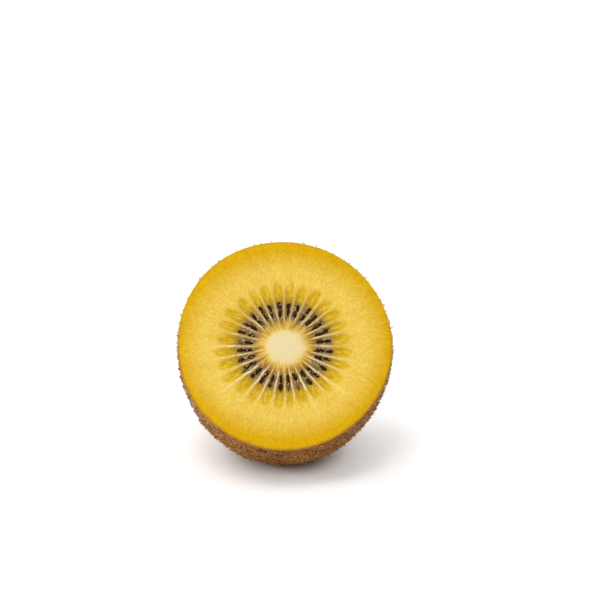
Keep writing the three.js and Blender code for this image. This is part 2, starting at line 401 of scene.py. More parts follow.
def swept_faces(rows, columns):
    """Corner numbers of a grid that closes round its columns, as quads, with a fan of triangles to
    a single point before the first row and another to one after the last."""
    number = 1 + np.arange(rows * columns).reshape(rows, columns)
    following = np.roll(number, -1, axis=1)
    quads = np.stack([number[:-1], number[1:], following[1:], following[:-1]], axis=-1)
    first = np.zeros(columns, int)
    last = np.full(columns, 1 + rows * columns)
    first_fan = np.stack([first, number[0], following[0]], axis=-1)
    last_fan = np.stack([number[-1], last, following[-1]], axis=-1)
    return quads.reshape(-1, 4), np.concatenate([first_fan, last_fan])


def in_scene(name, data):
    """An object with that data, at the origin and linked to the scene."""
    item = bpy.data.objects.new(name, data)
    bpy.context.scene.collection.objects.link(item)
    return item


def make_piece(name, points, quads, triangles, material, slot):
    """A smooth mesh object of quads and triangles at the origin, riding on the one body there is,
    in place of the solid."""
    mesh = bpy.data.meshes.new(name)
    mesh.vertices.add(len(points))
    mesh.vertices.foreach_set("co", np.asarray(points, np.float32).ravel())
    corners = np.concatenate([quads.ravel(), triangles.ravel()]).astype(np.int32)
    sizes = np.concatenate([np.full(len(quads), 4), np.full(len(triangles), 3)])
    starts = np.concatenate([[0], np.cumsum(sizes)[:-1]]).astype(np.int32)
    mesh.loops.add(len(corners))
    mesh.loops.foreach_set("vertex_index", corners)
    mesh.polygons.add(len(sizes))
    mesh.polygons.foreach_set("loop_start", starts)
    mesh.polygons.foreach_set("use_smooth", np.ones(len(sizes), bool))
    mesh.update(calc_edges=True)
    if mesh.validate():
        raise RuntimeError(f"{name} had faces that Blender had to mend")
    mesh.materials.append(material)
    piece = in_scene(name, mesh)
    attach(piece, "root")
    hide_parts(NODE)
    return piece


def repeated_faces(quads, triangles, copies, corners):
    """The faces of many like shapes in one mesh, each with that many corners of its own."""
    offsets = (np.arange(copies) * corners)[:, None, None]
    return (quads[None] + offsets).reshape(-1, 4), (triangles[None] + offsets).reshape(-1, 3)


def add_values(piece, name, values):
    """A number for every point of a piece, which its material reads."""
    attribute = piece.data.attributes.new(name, "FLOAT", "POINT")
    attribute.data.foreach_set("value", np.asarray(values, np.float32).ravel())


def add_vectors(piece, name, vectors):
    """A vector for every point of a piece, which its material reads."""
    attribute = piece.data.attributes.new(name, "FLOAT_VECTOR", "POINT")
    attribute.data.foreach_set("vector", np.asarray(vectors, np.float32).ravel())


class Recipe:
    """The nodes of one material. Most methods add a node and return the output that it gives."""

    def __init__(self, name):
        self.material = bpy.data.materials.new(name)
        self.material.use_nodes = True
        self.tree = self.material.node_tree
        self.shader = self.tree.nodes["Principled BSDF"]

    def add(self, kind, inputs, output=0, **settings):
        node = self.tree.nodes.new(kind)
        for key, value in settings.items():
            setattr(node, key, value)
        for key, value in inputs.items():
            self.put(node.inputs[key], value)
        return node.outputs[output]

    def put(self, socket, value):
        """Links another node's output to an input, or sets the input's own value."""
        if isinstance(value, bpy.types.NodeSocket):
            self.tree.links.new(value, socket)
        elif socket.type == "RGBA":
            socket.default_value = (*value, 1)
        else:
            socket.default_value = value

    def set(self, **inputs):
        """Puts values into the shader, where base_color stands for Base Color, and so on, and
        returns the material."""
        for key, value in inputs.items():
            label = key.replace("_", " ").title().replace("Ior", "IOR")
            self.put(self.shader.inputs[label], value)
        return self.material

    def attribute(self, name, output="Fac"):
        return self.add("ShaderNodeAttribute", {}, output, attribute_name=name)

    def place(self):
        return self.add("ShaderNodeTexCoord", {}, "Object")

    def noise(self, vector, size, detail=3.0, roughness=0.55, output="Fac"):
        inputs = {"Vector": vector, "Scale": 1 / size, "Detail": detail, "Roughness": roughness}
        return self.add("ShaderNodeTexNoise", inputs, output)

    def cells(self, vector, size):
        inputs = {"Vector": vector, "Scale": 1 / size}
        return self.add("ShaderNodeTexVoronoi", inputs, "Distance")

    def math(self, operation, first, second=0.0):
        return self.add("ShaderNodeMath", {0: first, 1: second}, operation=operation)

    def times(self, first, second):
        return self.math("MULTIPLY", first, second)

    def weighed(self, *parts):
        """The sum of some values, each times its own weight."""
        total = self.times(*parts[0])
        for value, weight in parts[1:]:
            total = self.math("ADD", total, self.times(value, weight))
        return total

    def vector(self, operation, first, second=(0, 0, 0), output=0):
        inputs = {0: first, 1: second}
        return self.add("ShaderNodeVectorMath", inputs, output, operation=operation)

    def step(self, value, low, high, start=0.0, end=1.0):
        """A soft step from start to end, while a value goes from low to high."""
        inputs = {"Value": value, "From Min": low, "From Max": high, "To Min": start, "To Max": end}
        kind = "ShaderNodeMapRange"
        return self.add(kind, inputs, interpolation_type="SMOOTHSTEP", clamp=True)

    def ramp(self, value, stops):
        """A row of colours along a value, each stop being the value and its colour."""
        node = self.tree.nodes.new("ShaderNodeValToRGB")
        fill_ramp(node, stops)
        self.put(node.inputs["Fac"], value)
        return node.outputs["Color"]

    def mix(self, share, first, second, blend="MIX"):
        """The first colour, with that share of it given over to the second."""
        inputs = {"Factor": share, 6: first, 7: second}
        kind = "ShaderNodeMix"
        return self.add(kind, inputs, 2, data_type="RGBA", blend_type=blend)

    def paint(self, colour, *layers):
        """Layers of colour over one another, each with the share that it covers."""
        for share, tone in layers:
            colour = self.mix(share, colour, tone)
        return colour

    def bump(self, height, distance, strength=1.0):
        inputs = {"Height": height, "Distance": distance, "Strength": strength}
        return self.add("ShaderNodeBump", inputs)


def fill_ramp(node, stops):
    """Puts stops, each a value and its colour, into a ramp that starts with two of them."""
    row = node.color_ramp.elements
    while len(row) < len(stops):
        row.new(1)
    for element, (position, colour) in zip(row, stops):
        element.position = position
        element.color = (*colour, 1)


def chamber_colour(r, colours, share, streaks):
    """Colours inside a chamber: a row of them from its root over the seed bed to its tip, grey
    strands of pulp in the bed, and past the seeds gleams and dashes, dark and light."""
    fibre = r.attribute("fibre", "Vector")
    along = r.ramp(share, [
        (0.18, srgb(206, 166, 74)),
        (0.235, colours.amber),
        (0.3, colours.bed),
        (0.41, colours.bed),
        (0.475, colours.olive),
        (0.56, colours.lobe),
    ])
    grey = r.noise(r.place(), 0.5 * MM, 3.0, 0.7)
    strands = r.noise(fibre, 0.022, 2.0, 0.5)
    pulp = r.step(r.weighed((grey, 0.5), (strands, 0.5)), 0.42, 0.58)
    bed_tone = r.mix(pulp, srgb(98, 68, 18), srgb(190, 166, 126))
    gleam = r.step(streaks, 0.42, 0.58, 0.25, 1.0)
    dashes = r.noise(fibre, 0.03, 2.0, 0.5)
    past_seeds = r.step(share, 0.44, 0.52)
    return r.paint(
        along,
        (r.times(r.attribute("bed"), 0.75), bed_tone),
        (r.times(r.attribute("gleam"), gleam), srgb(244, 200, 62)),
        (r.times(past_seeds, r.step(dashes, 0.4, 0.48, 0.5, 0.0)), srgb(192, 150, 18)),
        (r.times(past_seeds, r.step(dashes, 0.54, 0.62, 0.0, 0.7)), srgb(238, 200, 84)),
    )


def flesh_material(colours):
    """Moist flesh: a row of colours from core to skin, the chambers, spikes round the core, pale
    rays, and specks of painted highlight. Fibres run outwards, because their noise is read on a
    direction that hardly changes along a radius."""
    r = Recipe("flesh")
    share = r.attribute("share")
    fibre = r.attribute("fibre", "Vector")
    place = r.place()
    flesh = r.ramp(share, [
        (0.105, colours.core),
        (0.155, srgb(229, 206, 144)),
        (0.195, srgb(216, 182, 92)),
        (0.24, srgb(200, 160, 72)),
        (0.3, colours.wall),
        (0.42, colours.wall),
        (0.52, srgb(216, 180, 70)),
        (0.64, colours.pale),
        (0.76, colours.pale),
        (0.97, colours.golden),
    ])
    long_streaks = r.noise(fibre, 0.08, 3.0, 0.6)
    streaks = r.noise(fibre, 0.017, 3.0, 0.6)
    spikes = r.noise(fibre, 0.055, 2.0, 0.5)
    by_core = r.times(r.step(share, 0.26, 0.33, 0.6, 0.0), r.step(share, 0.165, 0.21))
    line = r.step(r.math("ABSOLUTE", r.attribute("ray_off")), 0.3, 1.8, 1.0, 0.0)
    # Specks of painted highlight: in the outer flesh here, and in the seed bed next
    painted_flesh_glints = r.step(r.noise(place, 0.32 * MM, 1.0), 0.7, 0.78)
    painted_glints = r.step(r.noise(place, 0.34 * MM, 1.0), 0.66, 0.74)
    colour = r.paint(
        flesh,
        (r.attribute("chamber"), chamber_colour(r, colours, share, streaks)),
        (r.times(r.step(spikes, 0.52, 0.58), by_core), srgb(224, 190, 98)),
        (r.times(r.step(spikes, 0.4, 0.47, 1, 0), by_core), srgb(154, 108, 24)),
        (r.attribute("edge"), srgb(184, 146, 20)),
        (r.attribute("deep"), srgb(54, 28, 2)),
        (r.attribute("halo"), srgb(240, 214, 118)),
        (r.times(r.attribute("ray"), line), colours.ray),
        (r.attribute("rim"), srgb(190, 132, 14)),
        # painted highlights: specks of painted light in the outer flesh and over the seed bed
        (r.times(painted_flesh_glints, r.step(share, 0.5, 0.7, 0.0, 0.35)), srgb(250, 234, 160)),
        (r.times(painted_glints, r.attribute("bed")), srgb(238, 230, 214)),
    )

    mottle = r.noise(place, 0.5 * MM, 3.0, 0.6)
    light = r.step(r.weighed((streaks, 0.5), (mottle, 0.3), (long_streaks, 0.2)), 0.4, 0.6)
    shade = r.mix(light, srgb(239, 232, 203), srgb(255, 255, 255))
    shaded = r.mix(1.0, colour, shade, "MULTIPLY")
    fine = r.noise(place, 0.3 * MM, 3.0, 0.6)
    return r.set(
        base_color=r.mix(r.step(share, 0.1, 0.3), colour, shaded),
        roughness=r.step(r.attribute("bed"), 0, 1, 0.5, 0.26),
        normal=r.bump(r.weighed((streaks, 0.4), (fine, 0.4)), 0.05 * MM, 0.8),
        subsurface_weight=0.1,
        subsurface_radius=(1.0, 0.62, 0.16),
        subsurface_scale=0.6 * MM,
        specular_ior_level=0.04,
    )


def skin_material(colours):
    """Golden brown skin with the bumps of a peel: soft patches, fine specks, painted highlights on the
    tops of the bumps and painted shade between them, round dark pits between the bumps, mottled
    painted shade on the underside, painted shade in the recess round the stem end, and at the cut a
    pale line with painted shade that turns it brown below."""
    r = Recipe("skin")
    place = r.place()
    patches = r.noise(place, 8 * MM, 3.0, 0.5)
    specks = r.noise(place, 0.42 * MM, 3.0, 0.7)
    tone = r.weighed((patches, 0.35), (specks, 0.65))
    olive = r.noise(place, 3 * MM, 2.0, 0.5)
    wavy = r.noise(place, 1.1 * MM, 2.0, 0.5, "Color")
    bend = r.vector("MULTIPLY", wavy, (0.5 * MM, 0.5 * MM, 0.5 * MM))
    bumps = r.cells(r.vector("ADD", place, bend), 0.85 * MM)
    pits = r.cells(place, 1.7 * MM)
    colour = r.paint(
        colours.skin_dark,
        (r.step(tone, 0.4, 0.6), colours.skin_light),
        (r.step(olive, 0.5, 0.75, 0, 0.4), srgb(150, 120, 52)),
        # Painted highlights on the tops of the bumps, and painted shade in the creases between them
        (r.step(bumps, 0.1, 0.42, 0.6, 0.0), srgb(208, 152, 82)),
        (r.step(bumps, 0.5, 0.78, 0.0, 0.55), srgb(104, 62, 20)),
        (r.step(pits, 0.12, 0.22, 0.65, 0.0), srgb(94, 56, 24)),
    )

    grain = r.noise(place, 0.5 * MM, 2.0, 0.7)
    # Painted shade, mottled, that darkens the skin where it faces down
    shade = r.mix(r.step(grain, 0.44, 0.56), srgb(118, 80, 48), srgb(250, 238, 150))
    under = r.attribute("under")
    # The pale cut line, with painted shade that turns it brown below
    edge = r.mix(r.attribute("lit_above"), srgb(164, 112, 44), colours.skin_cut)
    tops = r.step(bumps, 0.05, 0.75, 1.0, 0.0)
    hollows = r.step(pits, 0.08, 0.3, 0.0, 0.7)
    return r.set(
        base_color=r.paint(
            colour,
            (under, r.mix(1.0, colour, shade, "MULTIPLY")),
            # Painted shade in the recess round the stem end
            (r.attribute("pole"), srgb(52, 28, 10)),
            (r.attribute("cut"), edge),
        ),
        roughness=r.math("MAXIMUM", r.step(specks, 0.3, 0.7, 0.38, 0.5), under),
        normal=r.bump(r.weighed((tops, 1.0), (hollows, 1.0), (specks, 0.5)), 0.1 * MM, 0.9),
        specular_ior_level=0.3,
    )


def seed_material(colours):
    """Wet seed coat: near black with brown flecks and specks of painted highlight, under a clear film.
    """
    r = Recipe("seed")
    place = r.place()
    flecks = r.noise(place, 0.45 * MM, 3.0, 0.6)
    painted_glints = r.noise(place, 0.42 * MM, 1.0)
    return r.set(
        base_color=r.paint(
            colours.seed,
            (r.step(flecks, 0.5, 0.75), srgb(96, 58, 28)),
            # Specks of painted highlight on the wet coat
            (r.step(painted_glints, 0.66, 0.73, 0.0, 0.8), srgb(226, 214, 200)),
        ),
        roughness=0.3,
        normal=r.bump(r.noise(place, 0.18 * MM, 2.0), 0.03 * MM, 0.6),
        specular_ior_level=0.02,
        coat_weight=0.03,
        coat_roughness=0.08,
    )


def wood_material(colours):
    """Dry bark of the stem end: crumbly browns, paler on what stands out."""
    r = Recipe("stem_end")
    place = r.place()
    crumbs = r.noise(place, 0.5 * MM, 5.0, 0.7)
    tone = r.mix(r.step(crumbs, 0.38, 0.62), srgb(56, 28, 8), colours.wood)
    straw = r.mix(r.step(crumbs, 0.4, 0.6), srgb(130, 76, 28), srgb(214, 156, 92))
    colour = r.mix(r.attribute("proud"), tone, straw)
    return r.set(
        base_color=colour,
        roughness=0.85,
        specular_ior_level=0.15,
        normal=r.bump(crumbs, 0.2 * MM, 0.9),
    )


def hair_material(colours):
    """Hairs from brown to straw, each by its own draw, darker at the root."""
    r = Recipe("fuzz")
    colour = r.paint(
        srgb(132, 88, 38),
        (r.attribute("own"), srgb(228, 184, 120)),
        (0.3, colours.hair),
        (r.attribute("root"), colours.skin_dark),
    )
    return r.set(base_color=colour, roughness=0.6, specular_ior_level=0.1)


def floor_material(colours):
    """A plain pale floor that glows a little, as painted light that narrows the fruit's shadow, except
    close round the place where the fruit stands, where instead it has a darker painted contact shadow."""
    r = Recipe("floor")
    away = r.vector("LENGTH", r.place(), output="Value")
    # Painted contact shadow close round where the fruit stands
    contact_shadow = r.step(away, *CONTACT_SHADOW_REACH, 1.0, 0.0)
    return r.set(
        base_color=r.mix(contact_shadow, colours.floor, srgb(124, 112, 100)),
        roughness=0.7,
        specular_ior_level=0.1,
        emission_color=(0.9, 0.97, 1.0),
        # The floor glows as painted light, none near the fruit and full farther out, to narrow its
        # shadow
        emission_strength=r.step(away, *GLOW_REACH, 0.0, FLOOR_GLOW),
    )


def face_grid(sizes):
    """The grid of the cut face: the chamber and the share of the way across it, which go by the
    column, and the ring, which goes by the row from near 0 at the middle to the skin's inner edge,
    where 1 is its outer edge."""
    edge = 1 - sizes.skin_thickness / sizes.half_width
    rings = edge * np.linspace(0, 1, FACE_RINGS + 1)[1:] ** 0.92
    column, ring = np.meshgrid(np.arange(CHAMBERS * FACE_STEPS), rings)
    return column // FACE_STEPS, (column % FACE_STEPS) / FACE_STEPS, ring


def nearest_wall(chamber, share):
    """Number of the wall before a chamber in its first half, and of the one after it past that."""
    return (chamber + (share >= 0.5)) % CHAMBERS


def round_length(radius, share):
    """Length round the face that a share of a chamber's width has at some radius."""
    return share * 2 * np.pi * radius / CHAMBERS


def spots(radius, chamber, share, count, purpose, ends, half_size):
    """Long spots, that many to a chamber, at drawn radii between two ends and a little off the
    chamber's middle: for each, the squared distance to it in its own half sizes, and its draw."""
    for k in range(count):
        middle = ends[0] + (ends[1] - ends[0]) * draw(chamber, purpose + k)
        stray = SPOT_STRAY * (draw(chamber, purpose + count + k) - 0.5)
        along = (radius - middle) / half_size[0]
        aside = round_length(radius, share - 0.5 - stray) / half_size[1]
        yield along**2 + aside**2, draw(chamber, purpose + 2 * count + k)


def chamber_marks(radius, chamber, share):
    """Where the chambers are, as shares from 0 to 1. A wall grows wider outwards, and a chamber is
    what is left between two walls up to its rounded, slightly ragged tip. Its inner part is the
    seed bed with dark hollows, its outer part has gleams, and sides that are darker past the seeds."""
    bed_start, bed_end = SEED_BED
    across = 1 - np.abs(2 * share - 1)
    outer = np.clip(radius - bed_end, 0, None)
    half_wall = WALL_HALF + WALL_GROWTH * (radius - bed_start) + WALL_OUTER_GROWTH * outer
    half_wall = half_wall + WALL_SPREAD * (draw(nearest_wall(chamber, share), 72) - 0.5)
    half_wall = np.clip(half_wall, WALL_LEAST, None)
    to_wall = round_length(radius, across / 2)
    inside = smooth(to_wall, half_wall, half_wall + WALL_SOFT + 0.08 * outer)

    tip = chamber_tip(chamber)
    turn = chamber_angle(chamber, share)
    fray = TIP_FRAY * ripple(spoke_of(turn, radius), 0.12, 18)
    rounding = (TIP_ROUNDING + TIP_ROUNDING_SPREAD * draw(chamber, 78)) * (1 - across) ** 2
    end = radius + rounding + fray
    start = CORE_EDGE - 0.5 * MM + 1.2 * MM * draw(chamber, 73)
    inside = inside * smooth(radius, start, start + 1.6 * MM)
    inside = inside * (1 - smooth(end, tip - 1.8 * MM, tip + 0.5 * MM))

    bed_rise = (bed_start - 0.3 * MM, bed_start + 0.6 * MM)
    bed = window(radius, bed_rise, (bed_end - 1.9 * MM, bed_end - 0.2 * MM))
    side = (share >= 0.5).astype(int)
    edge = 4 * inside * (1 - inside) * smooth(radius, bed_end - 0.5 * MM, bed_end + 1.0 * MM)
    edge = edge * (1 - smooth(end, tip - 2.2 * MM, tip + 0.2 * MM))
    edge = edge * (0.35 + 0.9 * draw(2 * chamber + side, 79))

    gleam = np.zeros_like(radius)
    ends = (bed_end + 0.4 * MM, tip - 1.2 * MM)
    for away, own in spots(radius, chamber, share, 3, 90, ends, GLEAM_HALF_SIZE):
        gleam = np.maximum(gleam, (0.2 + 0.8 * own) * np.exp(-away))
    deep = np.zeros_like(radius)
    for away, own in spots(radius, chamber, share, 2, 80, HOLLOWS, HOLLOW_HALF_SIZE):
        deep = np.maximum(deep, (0.2 + 0.65 * own) * (1 - smooth(away, 0.4, 1.4)))
    return {
        "chamber": inside,
        "bed": bed * inside,
        "gleam": gleam,
        "edge": EDGE_STRENGTH * np.clip(edge, 0, 1),
        "deep": deep * inside,
    }


def ray_marks(radius, chamber, share):
    """The rays: each the pale middle of a wall, with a strength, width and reach of its own, that
    wanders a little. They are stronger and longer low on the face, and go on as soft pale halos."""
    wall = nearest_wall(chamber, share)
    across = 1 - np.abs(2 * share - 1)
    low = smooth(-np.sin(chamber_angle(chamber, share)), -0.7, 0.8)
    width = (RAY_HALF + RAY_HALF_SPREAD * draw(wall, 71)) * (1 + 0.05 * (radius / MM - 6))
    strength = np.clip(0.24 + 0.4 * draw(wall, 70) + 0.41 * low, 0, 1)
    reach = (12.5 + 4 * draw(wall, 76) + 3.5 * low) * MM
    turn = wall_angle(wall)
    along = np.stack([np.cos(turn), np.sin(turn), radius / (4 * MM)], axis=-1)
    aside = round_length(radius, np.where(share < 0.5, share, share - 1))
    ray = strength * np.clip(0.75 + 0.4 * ripple(along, 0.5, 16), 0.1, 1)
    ray_rise = (CORE_EDGE + 0.4 * MM, CORE_EDGE + 2.2 * MM)
    ray = ray * window(radius, ray_rise, (reach - 7 * MM, reach)) * (1 - smooth(across, 0.5, 0.85))

    bed_end = SEED_BED[1]
    spread = 0.25 * MM + 0.05 * np.clip(radius - bed_end, 0, None)
    halo = 0.7 * (0.45 + 0.55 * low) * draw(wall, 77) * np.exp(-((aside / spread) ** 2))
    halo_fall = (15 * MM, (20 + 3.5 * low) * MM)
    halo = halo * window(radius, (bed_end - 1 * MM, bed_end + 1 * MM), halo_fall)
    return {
        "ray": ray,
        "ray_off": (aside + RAY_WANDER * ripple(along, 0.8, 15)) / width,
        "halo": halo,
    }


def spoke_of(angle, radius):
    """A direction with a little of the radius, so that noise on it runs in streaks outwards."""
    return np.stack([np.cos(angle), np.sin(angle), radius / SPOKE_LENGTH], axis=-1)


def core_star(angle, share, radius, spoke):
    """How far out the colours round the core are pulled, so that its outline is a soft star: a
    point for every chamber, two sizes of raggedness, and the oval, lifted form that it has."""
    points = 0.12 * np.cos(2 * np.pi * share)
    ragged = 0.16 * ripple(spoke, 0.45, 14) + 0.12 * ripple(spoke, 0.12, 17)
    form = 0.05 + 0.24 * np.cos(2 * angle) + 0.25 * np.cos(angle) - 0.6 * np.sin(angle)
    near_edge = window(radius, (2 * MM, CORE_EDGE), (CHAMBER_INNER, 9 * MM))
    return (points + ragged + form) * MM * near_edge


def face_surface(sizes):
    """The cut face as rings of points, with its marks: the solid's own relief, plus low ridges
    along the rays, lumps in the seed bed, fibres that run outwards, and a slight wave of the cut."""
    chamber, share, ring = face_grid(sizes)
    angle = chamber_angle(chamber, share)
    edge = skin_point(sizes, angle, np.zeros_like(angle))
    x = edge[..., 0] * ring
    y = edge[..., 1] * ring
    radius = pattern_radius(x, y)
    marks = {**chamber_marks(radius, chamber, share), **ray_marks(radius, chamber, share)}
    flat = np.stack([x, y, np.zeros_like(x)], axis=-1)
    spoke = spoke_of(angle, radius)
    outside = smooth(radius, CORE_EDGE, 9 * MM) * (1 - smooth(ring, 0.94, 0.98))
    ridges = RAY_RISE * marks["ray"] * np.exp(-(marks["ray_off"] ** 2))
    lumps = BED_LUMPS * marks["bed"] * ripple(flat, 0.9 * MM, 11)
    fibres = FIBRE_RISE * outside * ripple(spoke, 0.1, 12)
    wave = CUT_WAVE * outside * ripple(flat, 6 * MM, 13)
    z = face_height(x, y, chamber, share, ring) + ridges + lumps + fibres + wave
    marks["share"] = (radius - core_star(angle, share, radius, spoke)) / sizes.half_width
    low = smooth(-np.sin(angle), -0.6, 0.3)
    marks["rim"] = smooth(ring, 0.965, 0.99) * (0.15 + 0.35 * low)
    return np.stack([x, settled_height(y, ring), z], axis=-1), marks, spoke


def inner_share(sizes, slant):
    """How far in towards the fruit's middle the inside of the skin lies: the skin's thickness at
    the cut, and more behind it, so that the lumps of the outside have room."""
    depth = sizes.skin_thickness + SKIN_ROOM * smooth(slant, 0, 0.3)
    return 1 - depth / sizes.half_width


def inner_rows(sizes, angles, count):
    """Rows of the skin's inside, from the cut to just before the pole."""
    slants = even_slants(sizes, count + 1)[:-1]
    angle, slant = np.meshgrid(angles, slants)
    return skin_point(sizes, angle, slant) * inner_share(sizes, slant)[..., None]


def inner_pole(sizes):
    """The one point of the skin's inside at the pole."""
    pole = np.full(1, np.pi / 2)
    return skin_point(sizes, np.zeros(1), pole) * inner_share(sizes, pole)[:, None]


def make_flesh(sizes, colours):
    """The flesh as one closed body: the cut face, and a back that lies against the skin."""
    rings, marks, spoke = face_surface(sizes)
    column = np.arange(CHAMBERS * FACE_STEPS)
    angles = chamber_angle(column // FACE_STEPS, (column % FACE_STEPS) / FACE_STEPS)
    back = inner_rows(sizes, angles, HIDDEN_ROWS)[1:]
    middle = np.array([[0, settled_height(0, 0), CROWN_RISE + CORE_RISE]])
    local = np.concatenate([middle, rings.reshape(-1, 3), back.reshape(-1, 3), inner_pole(sizes)])
    points = on_floor(stood(sizes, local), sizes.skin_thickness + SKIN_ROOM)
    rows = FACE_RINGS + HIDDEN_ROWS - 1
    quads, triangles = swept_faces(rows, len(column))
    piece = make_piece("flesh", points, quads, triangles, flesh_material(colours), "flesh")
    hidden = len(points) - 1 - rings[..., 0].size
    for name, values in marks.items():
        add_values(piece, name, np.concatenate([[0], values.ravel(), np.zeros(hidden)]))
    tail = np.tile(spoke[-1, 0], (hidden, 1))
    add_vectors(piece, "fibre", np.concatenate([[[0, 0, 0]], spoke.reshape(-1, 3), tail]))


def skin_surface(sizes):
    """The outside of the skin as rows of points, from the cut to just before the pole, and their
    angles: the solid's form with low lumps of three sizes, pushed along the line from the fruit's
    middle."""
    slants = even_slants(sizes, SKIN_ROWS + 1)[:-1]
    angles = np.arange(SKIN_COLUMNS) * 2 * np.pi / SKIN_COLUMNS
    angle, slant = np.meshgrid(angles, slants)
    points = skin_point(sizes, angle, slant)
    outward = points / np.linalg.norm(points, axis=-1, keepdims=True)
    lumps = sum(height * ripple(points, length, seed) for height, length, seed in SKIN_LUMPS)
    settled = smooth(slant, 0.0, 0.08)[..., None]
    return points + outward * lumps[..., None] * settled, angles


def skin_lip(sizes, rim):
    """Three rows over the cut edge of the skin, from the flesh side out: a half wave in height."""
    rows = []
    for turn in (0.25, 0.5, 0.75):
        share = 1 - sizes.skin_thickness / sizes.half_width * (1 - turn)
        lift = LIP_LIFT * math.sin(math.pi * turn)
        rows.append(rim * share + np.array([0, 0, lift]))
    return np.stack(rows)


def make_skin(sizes, colours):
    """The skin as a thin closed shell: its inside from the pole to the cut, a narrow rounded lip, and
    its outside back to the pole. Its marks say how near the cut, the top side, the underside and the
    stem end each point is, and place painted light and shade there. Returns the outside, for the fuzz."""
    outside, angles = skin_surface(sizes)
    inside = inner_rows(sizes, angles, HIDDEN_ROWS)[::-1]
    lip = skin_lip(sizes, outside[0])
    rows = np.concatenate([inside, lip, outside])
    poles = skin_point(sizes, np.zeros(1), np.full(1, np.pi / 2))
    shell = stood(sizes, np.concatenate([inner_pole(sizes), rows.reshape(-1, 3), poles]))
    hidden = 1 + inside[..., 0].size
    inner = on_floor(shell[:hidden], sizes.skin_thickness + SKIN_ROOM)
    points = np.concatenate([inner, on_floor(shell[hidden:])])
    quads, triangles = swept_faces(len(rows), SKIN_COLUMNS)
    piece = make_piece("skin", points, quads, triangles, skin_material(colours), "skin")

    def on_outside(inner_value, lip_value, values, pole_value):
        parts = (np.full(hidden, inner_value), np.full(lip[..., 0].size, lip_value), values.ravel())
        return np.concatenate([*parts, [pole_value]])

    depth = on_outside(1.0, 0.0, -outside[..., 2], sizes.half_length)
    far = sizes.half_width
    away = on_outside(far, far, np.hypot(outside[..., 0], outside[..., 1]), 0)
    away = np.where(depth > sizes.half_length / 2, away, far)
    heights = np.tile(np.sin(angles), len(lip) + len(outside))
    heights = np.concatenate([np.zeros(hidden), heights, [0]])
    facing = on_outside(1, 1, grid_normals(stood(sizes, outside))[..., 2], 0)
    add_values(piece, "cut", 1 - smooth(depth, 0.0, CUT_LINE))
    # Where the cut line is lit: pale above, in painted shade below
    add_values(piece, "lit_above", smooth(heights, -0.3, 0.5))
    # The share of painted shade on skin that faces down
    add_values(piece, "under", 0.9 * (1 - smooth(facing, -0.75, 0.15)))
    # The share of painted shade in the recess round the stem end
    add_values(piece, "pole", 0.85 * (1 - smooth(away, *SHADED_RECESS_REACH)))
    return outside


def seed_places():
    """Chamber and row numbers of the seeds that the fruit has, by the same draws as the solid."""
    chamber, row = np.meshgrid(np.arange(CHAMBERS), np.arange(len(SEED_ROWS)), indexing="ij")
    missing = np.array([part[2] for part in SEED_ROWS])[row]
    kept = draw(chamber, 50 + row) >= missing
    return chamber[kept], row[kept]


def make_seeds(sizes, colours):
    """All seeds: each a sphere stretched along its chamber and narrowed towards the core, so that
    the width goes with 1 plus a share of the way along it."""
    chamber, row = seed_places()
    middle_radius = np.array([part[0] for part in SEED_ROWS])[row]
    spread = np.array([part[1] for part in SEED_ROWS])[row]
    share = 0.5 + 0.16 * (draw(chamber, 10 + row) - 0.5)
    angle = chamber_angle(chamber, share)
    radius = middle_radius + spread * (draw(chamber, 20 + row) - 0.5)
    x = radius * np.cos(angle)
    y = radius * np.sin(angle) / PATTERN_SQUEEZE
    ring = radius / sizes.half_width
    z = face_height(x, y, chamber, 0.5, ring) - SEED_SINK
    y = settled_height(y, ring)
    size = (0.92 + 0.16 * draw(chamber, 30 + row))[:, None]
    turn = (angle + SEED_TURN * (draw(chamber, 40 + row) - 0.5))[:, None]

    sides, stacks = SEED_GRID
    around = np.arange(sides) * 2 * np.pi / sides
    down = np.arange(1, stacks) * np.pi / stacks
    down, around = np.meshgrid(down, around, indexing="ij")
    body = np.stack([np.cos(down), np.sin(down) * np.cos(around), np.sin(down) * np.sin(around)], -1)
    poles = np.array([[1.0, 0, 0], [-1.0, 0, 0]])
    ball = 0.5 * np.concatenate([poles[:1], body.reshape(-1, 3), poles[1:]])
    width = (1 + SEED_TAPER * ball[:, 0]) * sizes.seed_width
    along = size * ball[:, 0] * sizes.seed_length
    aside = size * ball[:, 1] * width
    height = ball[:, 2] * width
    points = np.stack([
        x[:, None] + along * np.cos(turn) - aside * np.sin(turn),
        y[:, None] + along * np.sin(turn) + aside * np.cos(turn),
        z[:, None] + np.broadcast_to(height, along.shape),
    ], axis=-1)
    faces = repeated_faces(*swept_faces(stacks - 1, sides), len(chamber), len(ball))
    standing = stood(sizes, points.reshape(-1, 3))
    make_piece("seeds", standing, *faces, seed_material(colours), "seed")


def stem_floor(sizes):
    """Height of the dimple's floor at the pole, in the fruit's own frame."""
    return float(skin_point(sizes, np.zeros(1), np.full(1, np.pi / 2))[0, 2])


